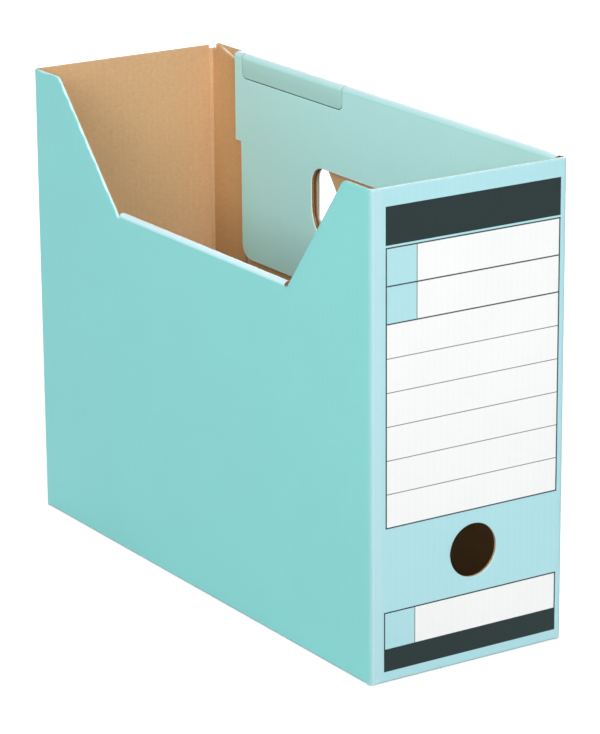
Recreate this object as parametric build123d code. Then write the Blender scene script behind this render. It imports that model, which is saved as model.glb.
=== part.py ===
from build123d import *
import os

# Lidded file box folded from one die-cut sheet of thin corrugated board.
# Millimetres. +Z is up, the origin is at the bottom centre of the box, and the label panel faces -Y.
# The left wall is at -X and has the pick-out notch, the right wall is at +X and carries the lid.
# Places along the box are given as distances from the rear face, depths as drops below the wall tops.

# Box
width = 102.0
length = 287.0
height = 220.0
board = 1.6

# Creases: outer radius of the standing corners and of the base edges
corner_radius = 3.0
base_radius = 2.2
crease_slack = 0.3

# Relief cuts at the top of the two right-hand corners
relief_depth = 2.9
relief_reach = 2.1

# Finger hole in the label panel
finger_hole_radius = 12.2
finger_hole_height = 51.5
finger_hole_shift = 2.75

# Pick-out notch in the left wall
notch_rear = 24.0
notch_front = 21.0
notch_rear_run = 53.5
notch_front_run = 44.0
notch_depth = 56.5
notch_top_radius = 5.0
notch_foot_radius = 1.5

# Flap cut out of that notch, folded down inside
flap_gap = 0.8
flap_cut = 0.8
flap_top_drop = 1.2
flap_corner_radius = 4.0
flap_fold_inset = 1.5

# Lid, hinged on the right wall and folded down inside
lid_clearance = 0.4
lid_fold_rise = 1.0
lid_rear = 26.2
lid_step_drop = 42.8
lid_tongue_inset = 7.3
lid_corner_radius = 7.5
lid_bite = 0.4
lid_cut = 0.4

# Index tab cut free beside the lid's hinge
tab_setback = 6.7
tab_length = 87.0
tab_drop = 10.6
tab_corner_radius = 3.0

# Hand hole through the lid and the right wall
hole_width = 99.4
hole_drop = 42.2
hole_height = 37.3
hole_top_radius = 9.0
hole_bottom_radius = 18.0
wall_hole_clearance = 0.8
wall_hole_chamfer = 11.0
wall_hole_radius = 6.5

# Grip flap left hanging in the right wall's hole
grip_base_width = 81.5
grip_tip_width = 67.6
grip_length = 9.5

# Glue flap that closes the tube at the rear right corner
glue_flap_setback = 2.9
glue_flap_shoulder = 6.9
glue_flap_taper = 6.5
glue_flap_lift = 6.0

# Self-locking base
base_flap_inset = 4.0
jog_start = 1.5
jog_run = 5.0
end_flap_depth = 46.0
end_flap_taper = 6.0
end_flap_cut = 0.5
lock_reach = 6.0
lock_slant = 20.0
seam_gap = 0.6
main_flap_chamfer = 9.0

# How far every cutting tool runs past the board
overrun = 5.0

# Faces and levels that several pieces share
half_width = width / 2
half_length = length / 2
right_inner = half_width - board
left_inner = -half_width + board
lid_gap = board + lid_clearance
lid_fold_radius = board + lid_gap / 2
lid_axis_x = right_inner - lid_gap / 2
lid_axis_z = height + lid_fold_rise - lid_fold_radius
flap_axis_x = left_inner + flap_gap / 2
flap_axis_z = height - notch_depth
flap_fold_radius = board + flap_gap / 2
grip_axis_z = height - hole_drop - wall_hole_clearance
tab_rear = lid_rear + tab_setback
lid_front = length - corner_radius - lid_cut
shoulder_top = height + lid_fold_rise
relief_level = shoulder_top - relief_depth


def from_rear(distance):
    return half_length - distance


def rounded(points, radii):
    # A closed outline with the named radius at each corner that has one
    sketch = make_face(Polyline(*points, close=True))
    for point, radius in zip(points, radii):
        if radius:
            corner = sketch.vertices().sort_by_distance((*point, 0))[0]
            sketch = fillet(corner, radius)
    return sketch


def side_plate(sketch, low_x):
    # A sketch drawn in Y and Z, as a board whose left face is at low_x
    return extrude(Plane.YZ.offset(low_x) * sketch, amount=board)


def floor_plate(sketch, thickness):
    # A sketch drawn in X and Y, raised from the floor
    return extrude(Plane.XY * sketch, amount=thickness)


def box_between(low, high):
    size = [b - a for a, b in zip(low, high)]
    return Pos(*low) * Box(*size, align=(Align.MIN, Align.MIN, Align.MIN))


def quarter_ring(radius, side_u, side_v):
    # The bent board of a right-angled crease; side_u and side_v are the signs of the quadrant it fills
    ring = Circle(radius) - Circle(radius - board)
    quadrant = Pos(side_u * radius / 2, side_v * radius / 2) * Rectangle(radius, radius)
    return ring & quadrant


def half_ring(radius):
    # The bent board of a crease folded right back on itself, crown up
    ring = Circle(radius) - Circle(radius - board)
    return ring & (Pos(0, radius / 2) * Rectangle(2 * radius, radius))


def along_length(sketch, rear, front):
    # A section drawn in X and Z, carried along Y between two distances from the rear face
    return extrude(Plane.XZ.offset(-from_rear(front)) * sketch, amount=rear - front)


def front_panel():
    reach = half_width - corner_radius
    low = (-reach, -half_length, base_radius)
    high = (reach, -half_length + board, height)
    bore = Plane.XZ * Pos(finger_hole_shift, finger_hole_height) * Circle(finger_hole_radius)
    return box_between(low, high) - extrude(bore, amount=half_length + overrun)


def notch_ends(inset):
    # The four corners of the notch's trapezium along Y, drawn in at both sides by inset
    rear_top = from_rear(notch_rear + inset)
    rear_foot = from_rear(notch_rear + notch_rear_run + inset)
    front_foot = from_rear(length - notch_front - notch_front_run - inset)
    front_top = from_rear(length - notch_front - inset)
    return rear_top, rear_foot, front_foot, front_top


def left_wall():
    rear_top, rear_foot, front_foot, front_top = notch_ends(0)
    end = half_length - corner_radius
    points = [
        (end, base_radius),
        (end, height),
        (rear_top, height),
        (rear_foot, flap_axis_z),
        (front_foot, flap_axis_z),
        (front_top, height),
        (-end, height),
        (-end, base_radius),
    ]
    soft = [notch_top_radius, notch_foot_radius]
    radii = [0, 0, *soft, *reversed(soft), 0, 0]
    return side_plate(rounded(points, radii), -half_width)


def notch_flap():
    # Drawn as it hangs: the crease at the top, the edge that fills the notch's mouth at the bottom
    rear_top, rear_foot, front_foot, front_top = notch_ends(flap_cut)
    top = flap_axis_z - crease_slack
    reach = notch_depth - flap_top_drop
    bottom = flap_axis_z - reach
    rear_bottom = rear_foot + (rear_top - rear_foot) * reach / notch_depth
    front_bottom = front_foot + (front_top - front_foot) * reach / notch_depth
    points = [(rear_foot, top), (rear_bottom, bottom), (front_bottom, bottom), (front_foot, top)]
    sketch = rounded(points, [0, flap_corner_radius, flap_corner_radius, 0])
    return side_plate(sketch, flap_axis_x + flap_gap / 2)


def notch_flap_fold():
    rear = notch_rear + notch_rear_run + flap_fold_inset
    front = length - notch_front - notch_front_run - flap_fold_inset
    return along_length(Pos(flap_axis_x, flap_axis_z) * half_ring(flap_fold_radius), rear, front)


def rear_panel():
    low = (-half_width + corner_radius, half_length - board, base_radius)
    high = (right_inner - corner_radius, half_length, height)
    return box_between(low, high)


def lid_hole_sketch():
    top = height - hole_drop
    bottom = top - hole_height
    half = hole_width / 2
    points = [(-half, top), (half, top), (half, bottom), (-half, bottom)]
    radii = [hole_top_radius, hole_top_radius, hole_bottom_radius, hole_bottom_radius]
    return rounded(points, radii)


def wall_hole_sketch():
    top = grip_axis_z
    bottom = height - hole_drop - hole_height
    half = hole_width / 2
    cut = wall_hole_chamfer
    points = [
        (-half, top),
        (half, top),
        (half, bottom + cut),
        (half - cut, bottom),
        (-half + cut, bottom),
        (-half, bottom + cut),
    ]
    return rounded(points, [wall_hole_radius, wall_hole_radius, 0, 0, 0, 0])


def right_wall():
    rear_end = half_length - crease_slack
    front_end = -half_length + corner_radius
    relief_end = from_rear(corner_radius + relief_reach)
    shoulder_end = from_rear(lid_rear - lid_cut)
    points = [
        (rear_end, base_radius),
        (rear_end, relief_level),
        (relief_end, relief_level),
        (relief_end, shoulder_top),
        (shoulder_end, shoulder_top),
        (shoulder_end, lid_axis_z),
        (front_end, lid_axis_z),
        (front_end, base_radius),
    ]
    outline = make_face(Polyline(*points, close=True))
    return side_plate(outline - wall_hole_sketch(), right_inner)


def grip_flap():
    top = grip_axis_z - crease_slack
    bottom = grip_axis_z - grip_length
    half_base = grip_base_width / 2
    half_tip = grip_tip_width / 2
    points = [(-half_base, top), (half_base, top), (half_tip, bottom), (-half_tip, bottom)]
    return side_plate(make_face(Polyline(*points, close=True)), right_inner)


def glue_flap():
    near = from_rear(corner_radius)
    far = from_rear(tab_rear - glue_flap_setback)
    knee = near - glue_flap_shoulder
    relief_end = near - relief_reach
    low = base_radius + glue_flap_lift
    points = [
        (near, low),
        (near, relief_level),
        (relief_end, relief_level),
        (relief_end, shoulder_top),
        (knee, shoulder_top),
        (far, shoulder_top - glue_flap_taper),
        (far, low + glue_flap_taper),
        (knee, low),
    ]
    return side_plate(make_face(Polyline(*points, close=True)), right_inner - board)


def standing_fold(corner_x, corner_y, top):
    # A vertical crease; corner_x and corner_y are the outer faces that it joins
    side_u = 1 if corner_x > 0 else -1
    side_v = 1 if corner_y > 0 else -1
    centre = Pos(corner_x - side_u * corner_radius, corner_y - side_v * corner_radius)
    return floor_plate(centre * quarter_ring(corner_radius, side_u, side_v), top)


def lid_outline():
    rear = from_rear(lid_rear)
    front = from_rear(lid_front)
    rear_tongue = from_rear(notch_rear + lid_tongue_inset)
    front_tongue = from_rear(length - notch_front - lid_tongue_inset)
    top = lid_axis_z - crease_slack
    step = height - lid_step_drop
    reach = right_inner - left_inner - lid_gap / 2 + lid_bite
    bottom = lid_axis_z - reach
    points = [
        (rear, top),
        (rear, step),
        (rear_tongue, step),
        (rear_tongue, bottom),
        (front_tongue, bottom),
        (front_tongue, step),
        (front, step),
        (front, top),
    ]
    radii = [0, 0, 0, lid_corner_radius, lid_corner_radius, 0, 0, 0]
    return rounded(points, radii)


def tab_sketch(grow, top):
    # The index tab's outline; grow widens it, for the cut that frees it from the lid
    rear = from_rear(tab_rear - grow)
    front = from_rear(tab_rear + tab_length + grow)
    bottom = height - tab_drop - grow
    radius = tab_corner_radius + grow
    return rounded([(rear, top), (rear, bottom), (front, bottom), (front, top)], [0, radius, radius, 0])


def lid():
    sketch = lid_outline() - lid_hole_sketch() - tab_sketch(lid_cut, lid_axis_z + overrun)
    return side_plate(sketch, lid_axis_x - lid_gap / 2 - board)


def lid_fold(rear, front):
    return along_length(Pos(lid_axis_x, lid_axis_z) * half_ring(lid_fold_radius), rear, front)


def index_tab():
    return side_plate(tab_sketch(0, lid_axis_z - crease_slack), lid_axis_x - lid_gap / 2 - board)


def long_base_fold(side):
    # The crease between a long wall and its base flap
    centre = Pos(side * (half_width - base_radius), base_radius)
    inset = corner_radius + crease_slack
    return along_length(centre * quarter_ring(base_radius, side, -1), inset, length - inset)


def end_base_fold(side):
    # The crease between an end panel and its base flap
    low = -half_width + corner_radius + crease_slack
    right_corner = half_width if side < 0 else right_inner
    high = right_corner - corner_radius - crease_slack
    centre = Pos(side * (half_length - base_radius), base_radius)
    section = Plane.YZ.offset(low) * centre * quarter_ring(base_radius, side, -1)
    return extrude(section, amount=high - low)


def left_main_flap():
    # Starts at floor level, climbs one board over the end flaps, and runs to the locking seam
    start = -half_width + base_radius
    knee = start + jog_start
    landing = knee + jog_run
    tip = lock_reach + overrun
    profile = [
        (start, 0),
        (knee, 0),
        (landing, board),
        (tip, board),
        (tip, 2 * board),
        (landing, 2 * board),
        (knee, board),
        (start, board),
    ]
    end = half_length - base_flap_inset
    seam = lock_reach - seam_gap / 2
    plan = [
        (start, -end),
        (seam, -end),
        (seam, -lock_slant / 2),
        (-lock_reach - seam_gap / 2, lock_slant / 2),
        (-lock_reach - seam_gap / 2, end),
        (start + main_flap_chamfer, end),
        (start, end - main_flap_chamfer),
    ]
    strip = along_length(make_face(Polyline(*profile, close=True)), 0, length)
    return strip & floor_plate(make_face(Polyline(*plan, close=True)), 2 * board)


def end_flap_limits():
    # Half width, both edges and depth of the front end flap, glue corner included
    side = half_width - base_radius - jog_start - jog_run - end_flap_cut
    near = -half_length + base_radius
    far = -half_length + end_flap_depth
    run = far - near
    return side, near, far, run


def front_end_flap():
    # Ends at its left along the 45 degree crease of the glue corner
    side, near, far, run = end_flap_limits()
    split = end_flap_cut / 2
    points = [
        (-side, near),
        (side, near),
        (side - end_flap_taper, far),
        (-side + run + split, far),
        (-side + split, near + split),
        (-side, near + split),
    ]
    return floor_plate(make_face(Polyline(*points, close=True)), board)


def front_glue_corner():
    side, near, far, run = end_flap_limits()
    split = end_flap_cut
    points = [(-side, near + split), (-side + run - split, far), (-side, far)]
    return floor_plate(make_face(Polyline(*points, close=True)), board)


def turned(shape):
    # The base is the same from both ends: half a turn about Z
    return Rot(0, 0, 180) * shape


nodes = {
    "front_panel": front_panel(),
    "left_wall": left_wall(),
    "rear_panel": rear_panel(),
    "right_wall": right_wall(),
    "glue_flap": glue_flap(),
    "front_left_fold": standing_fold(-half_width, -half_length, height),
    "front_right_fold": standing_fold(half_width, -half_length, relief_level),
    "rear_left_fold": standing_fold(-half_width, half_length, height),
    "rear_right_fold": standing_fold(right_inner, half_length, relief_level),
    "notch_flap": notch_flap(),
    "notch_flap_fold": notch_flap_fold(),
    "lid": lid(),
    "lid_fold_rear": lid_fold(lid_rear, tab_rear - lid_cut),
    "lid_fold_front": lid_fold(tab_rear + tab_length + lid_cut, lid_front),
    "index_tab": index_tab(),
    "index_tab_fold": lid_fold(tab_rear, tab_rear + tab_length),
    "grip_flap": grip_flap(),
    "left_base_fold": long_base_fold(-1),
    "right_base_fold": long_base_fold(1),
    "front_base_fold": end_base_fold(-1),
    "rear_base_fold": end_base_fold(1),
    "left_base_flap": left_main_flap(),
    "right_base_flap": turned(left_main_flap()),
    "front_base_flap": front_end_flap(),
    "rear_base_flap": turned(front_end_flap()),
    "front_glue_corner": front_glue_corner(),
    "rear_glue_corner": turned(front_glue_corner()),
}

os.makedirs("parts", exist_ok=True)
for name, shape in nodes.items():
    export_step(shape, f"parts/{name}.step")
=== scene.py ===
import math

import bpy
import numpy as np
from mathutils import Matrix, Vector


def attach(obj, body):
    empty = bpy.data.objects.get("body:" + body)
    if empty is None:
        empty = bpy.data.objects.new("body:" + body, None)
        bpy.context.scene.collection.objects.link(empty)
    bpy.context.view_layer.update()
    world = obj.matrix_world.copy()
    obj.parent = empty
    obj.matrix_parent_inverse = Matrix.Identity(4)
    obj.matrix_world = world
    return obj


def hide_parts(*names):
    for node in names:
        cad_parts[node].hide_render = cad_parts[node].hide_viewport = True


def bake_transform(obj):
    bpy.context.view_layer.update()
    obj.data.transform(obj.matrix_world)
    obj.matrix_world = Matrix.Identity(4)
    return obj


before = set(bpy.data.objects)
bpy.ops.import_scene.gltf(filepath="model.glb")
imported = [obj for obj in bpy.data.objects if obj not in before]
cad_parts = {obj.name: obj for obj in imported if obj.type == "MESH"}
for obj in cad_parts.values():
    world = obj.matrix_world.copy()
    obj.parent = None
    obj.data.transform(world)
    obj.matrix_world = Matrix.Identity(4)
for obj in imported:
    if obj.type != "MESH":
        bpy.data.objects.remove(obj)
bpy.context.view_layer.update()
scene = bpy.context.scene
mm = 0.001

# the sheet that the whole box is cut from, in millimetres
boardStock = dict(
    thickness=1.6,
    liner=0.2,
    medium=0.16,
    flutePitch=3.3,
    outerSag=0.014,         # how far the printed liner dips between flute tips
    innerSag=0.03,
    creaseFade=(0.5, 4),    # the dips begin this far from a crease and are full after this length
    cutFade=1.5,            # length over which they set in from a cut edge
    endFade=0.3,            # the same for the lean of the flutes at the ends of a panel
    roll=(0.8, 1.0),        # reach and depth of the rounding that the die gives the printed side of a cut
    pinch=(0.5, 0.12),      # the same for the plain side
    linerSteps=5,           # columns per flute
    fluteSteps=8,
    arcSteps=25,            # points round a crease
    # rows beside a cut edge of a liner, beside one of the flutes and at the ends of a crease
    edgeRows=(0, 0.1, 0.25, 0.45, 0.75, 1.2, 2.2, 4.2),
    fluteRows=(0, 0.3, 1.2),
    endRows=(0, 0.08, 0.2, 0.36, 0.56, 0.8, 1.3),
    endRings=((0.12, 0), (0.13, 0.9), (0.87, 0.9), (0.88, 0)),  # share of the thickness, depth in the end
    sharpAngle=42,          # edges that bend by more degrees stay crisp
)

# lines that several panels share, in millimetres from the middle of the base
xDir, yDir, zDir, xBack, yBack = (1, 0, 0), (0, 1, 0), (0, 0, 1), (-1, 0, 0), (0, -1, 0)
halfWidth, halfLength, height = 51, 143.5, 220
panelEnd, wallEnd, rearEnd = 48, 140.5, 46.4        # panels end and corner creases begin
baseLevel, baseSide, baseEnd = 2.2, 48.8, 141.3     # the same for the creases round the base
shoulder, shoulderFront, shoulderRear = 221, 117.7, 138.4   # raised rear part of the right wall
reliefLevel = 218.1     # top of the corner beside that part
lidSide, lidAxis = 48.4, 218.4      # axis of the lid's crease
sideStep = 0.02     # lean that lets a line go straight up


def softCorners(points, radii, steps=9):
    # each corner gives way to an arc that touches both sides, its centre on the bisector
    pts = np.array(points, float)
    runs = []
    for i, radius in enumerate(radii):
        here, before, after = pts[i], pts[i - 1], pts[(i + 1) % len(pts)]
        if not radius:
            runs.append(here[None])
            continue
        one = (before - here) / np.linalg.norm(before - here)
        two = (after - here) / np.linalg.norm(after - here)
        half = math.acos(one @ two) / 2
        centre = here + (one + two) / np.linalg.norm(one + two) * radius / math.sin(half)
        start = here + one * radius / math.tan(half) - centre
        stop = here + two * radius / math.tan(half) - centre
        turn = math.pi - 2 * half
        s = np.linspace(0, 1, steps)[:, None]
        runs.append(centre + (np.sin((1 - s) * turn) * start + np.sin(s * turn) * stop) / math.sin(turn))
    return np.concatenate(runs)


def roundLoop(centre, radius, count):
    # points on a circle, half a step off its axes, so that the loop has short upright sides
    a = (np.arange(count) + 0.5) * 2 * math.pi / count
    return np.stack([centre[0] + radius * np.cos(a), centre[1] + radius * np.sin(a)], 1)


def underAndOver(loop):
    # a loop drawn anticlockwise, as the line under it and the line over it, both from low h to high h
    h, v = loop.T
    left, right = np.flatnonzero(h < h.min() + 1e-6), np.flatnonzero(h > h.max() - 1e-6)
    lowLeft, highLeft = left[v[left].argmin()], left[v[left].argmax()]
    lowRight, highRight = right[v[right].argmin()], right[v[right].argmax()]
    count = len(loop)
    under = loop[np.arange(lowLeft, lowLeft + (lowRight - lowLeft) % count + 1) % count]
    over = loop[np.arange(highRight, highRight + (highLeft - highRight) % count + 1) % count]
    return under, over[::-1]


def stripRows(low, high, fineLow, fineHigh, inner, near):
    # heights between two lines; beside a cut edge the rows crowd together as near lists them
    near = near[:, None]
    squeeze = np.minimum(1, 0.4 * (high - low) / near[-1])
    start = low + near * squeeze if fineLow else low[None]
    stop = high - near[::-1] * squeeze if fineHigh else high[None]
    share = np.linspace(0, 1, inner + 2)[1:-1, None]
    return np.concatenate([start, start[-1] + (stop[0] - start[-1]) * share, stop])


def panelGrid(panel, steps, rowsKey, merge=0.004, clear=0.06):
    # columns stand at fixed parts of a flute, at every bend of the outline and beside upright cut edges;
    # bends nearer than merge become one, and the other columns keep clear of them
    h0, h1 = panel["reach"]
    tick = boardStock["flutePitch"] / steps
    near = np.array(boardStock[rowsKey])
    bends = np.unique(np.concatenate([[h0, h1]] + [line[:, 0] for line in panel["lines"]]))
    bends = bends[(bends >= h0) & (bends <= h1)]
    bends = bends[np.concatenate([[True], np.diff(bends) > merge])]
    extra = [np.arange(math.ceil(h0 / tick), math.floor(h1 / tick) + 1) * tick]
    extra += [at + side * near[1:] for at, side in panel.get("upright", ())]
    extra = np.unique(np.concatenate(extra).round(4))
    extra = extra[(extra > h0) & (extra < h1) & (abs(extra[:, None] - bends).min(1) > clear)]
    h = np.sort(np.concatenate([bends, extra]))
    bounds = [np.interp(h, line[:, 0], line[:, 1]) for line in panel["lines"]]
    bounds = np.maximum.accumulate(np.array(bounds), axis=0)
    middle = (h[1:] + h[:-1]) / 2
    rows, keep = [], []
    for k, (fineLow, fineHigh, inner) in enumerate(panel["strips"]):
        strip = stripRows(bounds[k], bounds[k + 1], fineLow, fineHigh, inner, near)
        rows.append(strip if k == 0 else strip[1:])
        gone = np.zeros(len(middle), bool)
        for index, a, b in panel.get("gaps", ()):
            if index == k:
                gone |= (middle > a) & (middle < b)
        keep += [~gone] * (len(strip) - 1)
    v = np.concatenate(rows)
    ids = np.arange(v.size).reshape(v.shape)
    quads = np.stack([ids[:-1, :-1], ids[:-1, 1:], ids[1:, 1:], ids[1:, :-1]], -1)[np.array(keep)]
    used, quads = np.unique(quads, return_inverse=True)
    flat = np.stack([np.broadcast_to(h, v.shape).ravel(), v.ravel()], 1)[used]
    return flat, quads.reshape(-1, 4)


def openEdges(quads, count):
    # edges that only one cell uses, in that cell's direction
    edges = np.concatenate([quads[:, [0, 1]], quads[:, [1, 2]], quads[:, [2, 3]], quads[:, [3, 0]]])
    code = edges.min(1) * count + edges.max(1)
    _, first, times = np.unique(code, return_index=True, return_counts=True)
    return edges[first[times == 1]]


def distanceTo(points, a, b, batch=2000000, farAway=99.0):
    # shortest way from each point to any of the segments a-b, a batch of pairs at a time
    if not len(a):
        return np.full(len(points), farAway)
    run = b - a
    size = np.maximum((run ** 2).sum(1), 1e-12)
    found = []
    for some in np.array_split(points, max(1, len(points) * len(a) // batch)):
        t = np.clip(((some[:, None] - a) * run).sum(-1) / size, 0, 1)
        found.append(np.sqrt(((some[:, None] - a - t[..., None] * run) ** 2).sum(-1).min(1)))
    return np.concatenate(found)


def edgeSplit(panel, flat, quads, onCrease=0.06):
    # distance of every point to the cut edges and to the creases
    edges = openEdges(quads, len(flat))
    a, b = flat[edges[:, 0]], flat[edges[:, 1]]
    lines = np.array(panel.get("creases", np.zeros((0, 2, 2))), float).reshape(-1, 2, 2)
    folded = distanceTo((a + b) / 2, lines[:, 0], lines[:, 1]) < onCrease
    return distanceTo(flat, a[~folded], b[~folded]), distanceTo(flat, lines[:, 0], lines[:, 1])


def slab(top, bottom, quads):
    # two skins, closed by a rim along every open edge
    count = len(top)
    edge = openEdges(quads, count)
    rim = np.stack([edge[:, 1], edge[:, 0], edge[:, 0] + count, edge[:, 1] + count], 1)
    kind = np.repeat([0, 1, 2], [len(quads), len(quads), len(rim)])
    return np.concatenate([top, bottom]), np.concatenate([quads, quads[:, ::-1] + count, rim]), kind


def meshPiece(name, verts, quads, material, slots, values):
    # one object from points in millimetres, with a material for each face and numbers for each point
    mesh = bpy.data.meshes.new(name)
    mesh.vertices.add(len(verts))
    mesh.vertices.foreach_set("co", (verts * mm).astype(np.float32).ravel())
    mesh.loops.add(quads.size)
    mesh.loops.foreach_set("vertex_index", quads.astype(np.int32).ravel())
    mesh.polygons.add(len(quads))
    mesh.polygons.foreach_set("loop_start", np.arange(0, quads.size, 4, dtype=np.int32))
    mesh.polygons.foreach_set("material_index", material.astype(np.int32))
    for slot in slots:
        mesh.materials.append(slot)
    for key, numbers in values.items():
        mesh.attributes.new(key, "FLOAT", "POINT").data.foreach_set("value", numbers.astype(np.float32))
    mesh.update(calc_edges=True)
    mesh.shade_smooth()
    mesh.set_sharp_from_angle(angle=math.radians(boardStock["sharpAngle"]))
    piece = bpy.data.objects.new(name, mesh)
    scene.collection.objects.link(piece)
    return piece


def boardPanel(panel):
    # three slabs over one outline: the printed liner, the flutes and the plain liner
    stock = boardStock
    wave = 2 * math.pi / stock["flutePitch"]
    thick, liner, medium = stock["thickness"], stock["liner"], stock["medium"]
    hDir, vDir, dDir = (np.array(panel[k], float) for k in ("hDir", "vDir", "dDir"))
    turned = np.cross(hDir, vDir) @ dDir > 0  # the printed skin has to face away from dDir

    def place(flat, depth):
        rise = np.interp(flat[:, 1], *panel["jog"]) if "jog" in panel else 0
        along = flat[:, :1] * hDir + flat[:, 1:] * vDir
        return np.array(panel["origin"], float) + along + (depth + rise)[:, None] * dDir

    def roll(flat, cut, key="roll"):
        # a quarter ellipse: full depth at the cut, nothing beyond its reach
        reach, depth = panel.get(key, stock[key])
        if key == "roll" and "rollAbove" in panel:  # the whole rounding again above some height
            high = flat[:, 1] > panel["rollAbove"]
            reach, depth = (np.where(high, full, own) for full, own in zip(stock[key], (reach, depth)))
        q = np.clip(1 - cut / reach, 0, 1)
        return depth * (1 - np.sqrt(1 - q ** 2))

    # liners: a cosine dip between the flute tips, which dies out at cuts and creases
    flat, quads = panelGrid(panel, stock["linerSteps"], "edgeRows")
    if turned:
        quads = quads[:, ::-1]
    cut, crease = edgeSplit(panel, flat, quads)
    rib = np.cos(wave * flat[:, 0])
    clear, ramp = stock["creaseFade"]
    fade = np.clip((crease - clear) / ramp, 0, 1) * np.clip(cut / stock["cutFade"], 0, 1)
    outer = roll(flat, cut) + stock["outerSag"] * (1 - rib) / 2 * fade
    inner = thick - stock["innerSag"] * (1 + rib) / 2 * fade - roll(flat, cut, "pinch")

    # flutes: a cosine that touches both liners, half the paper to each side along its normal
    flutePanel = dict(panel, strips=[(a, b, 1) for a, b, _ in panel["strips"]])
    fluteFlat, fluteQuads = panelGrid(flutePanel, stock["fluteSteps"], "fluteRows")
    if turned:
        fluteQuads = fluteQuads[:, ::-1]
    fluteCut, _ = edgeSplit(panel, fluteFlat, fluteQuads)
    tip = roll(fluteFlat, fluteCut) + liner + medium / 2
    foot = np.maximum(thick - liner - medium / 2 - roll(fluteFlat, fluteCut, "pinch"), tip)
    swing = (foot - tip) / 2
    phase = wave * fluteFlat[:, 0]
    depth = (tip + foot) / 2 - swing * np.cos(phase)
    slope = swing * wave * np.sin(phase)
    lean = medium / 2 / np.sqrt(1 + slope ** 2)
    h0, h1 = panel["reach"]
    toEnd = np.minimum(fluteFlat[:, 0] - h0, h1 - fluteFlat[:, 0])
    push = np.zeros_like(fluteFlat)
    push[:, 0] = slope * lean * np.clip(toEnd / stock["endFade"], 0, 1)

    layers = [
        (place(flat, outer), place(flat, outer + liner), quads, (0, 2, 2), cut, rib * fade),
        (place(fluteFlat + push, depth - lean), place(fluteFlat - push, depth + lean), fluteQuads,
         (2, 2, 2), fluteCut, np.zeros(len(fluteFlat))),
        (place(flat, inner - liner), place(flat, inner), quads, (2, 1, 2), cut, -rib * fade),
    ]
    verts, faces, slots, cuts, ribs, base = [], [], [], [], [], 0
    for top, bottom, cells, use, edge, ribbed in layers:
        points, made, kind = slab(top, bottom, cells)
        verts.append(points)
        faces.append(made + base)
        slots.append(np.array(use)[kind])
        cuts += [edge, edge]
        ribs += [ribbed, ribbed]
        base += len(points)
    finishes = [panel["ink"], panel.get("plain", kraftPaper), panel.get("edge", cutBoard)]
    piece = meshPiece(panel["name"], np.concatenate(verts), np.concatenate(faces), np.concatenate(slots),
                      finishes, {"cutDistance": np.concatenate(cuts), "flute": np.concatenate(ribs)})
    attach(piece, panel.get("body", "box"))
    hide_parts(panel["node"])
    return piece


crestWaves = ((1, 0.41, 0), (0.6, 1.07, 1), (0.4, 2.3, 2))  # share, radians per millimetre, start


def pressedIn(fold, s):
    # how far the outer skin sinks: summed sines that never rise above the arc and a squared ramp at the
    # first end, for the crest alone; a quarter ellipse at the last end, as a cut panel has, for all of it
    s0, s1 = fold["run"]
    crest = fold.get("wobble", 0) * sum((a * np.sin(s * f + p) for a, f, p in crestWaves), 2) / 2
    depth, reach = fold.get("dip", (0, 1))
    crest = crest + depth * np.clip(1 - (s - s0) / reach, 0, 1) ** 2
    reach, depth = fold.get("endRoll", (1, 0))
    rolled = depth * (1 - np.sqrt(1 - np.clip(1 - (s1 - s) / reach, 0, 1) ** 2))
    return crest[:, None], rolled[:, None]


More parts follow.
